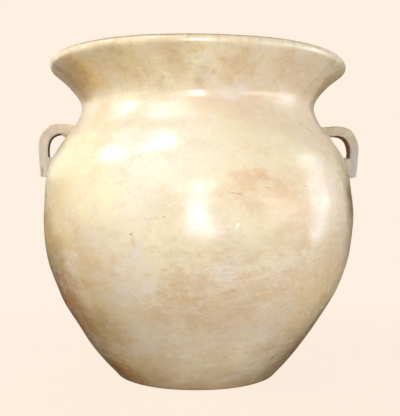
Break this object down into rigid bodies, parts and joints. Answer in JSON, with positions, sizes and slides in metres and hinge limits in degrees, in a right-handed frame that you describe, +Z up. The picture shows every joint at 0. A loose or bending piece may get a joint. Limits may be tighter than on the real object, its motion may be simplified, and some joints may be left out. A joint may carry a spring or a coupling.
{
  "type": "storage jar",
  "caption": "Wide-mouthed round-bellied ceramic storage jar with a flared rolled rim, a small flat foot and two lug handles set high on the shoulder.",
  "frame": {"origin": "centre of the flat underside, on the plane the jar stands on", "axes": "+Z up along the jar's axis, the two handles on the X axis, -Y towards the side seen in the picture"},
  "size_m": [0.5222, 0.4974, 0.5],
  "materials": {
    "antique_cream_finish": "satin, mottled by hand from pale cream to ochre and pinkish tan over fired clay",
    "bare_terracotta": "matt, unfinished red-brown fired clay"
  },
  "bodies": {
    "root": {"floor_slab": "antique_cream_finish", "lower_section": "antique_cream_finish", "upper_section": "antique_cream_finish", "neck_and_rim": "antique_cream_finish", "floor_corner_coil": "bare_terracotta", "belly_seam_coil": "bare_terracotta", "neck_seam_coil": "bare_terracotta", "handle_left": "antique_cream_finish", "root_wedge_left": "antique_cream_finish", "foot_wedge_left": "antique_cream_finish", "handle_right": "antique_cream_finish", "root_wedge_right": "antique_cream_finish", "foot_wedge_right": "antique_cream_finish"}
  },
  "joints": []
}
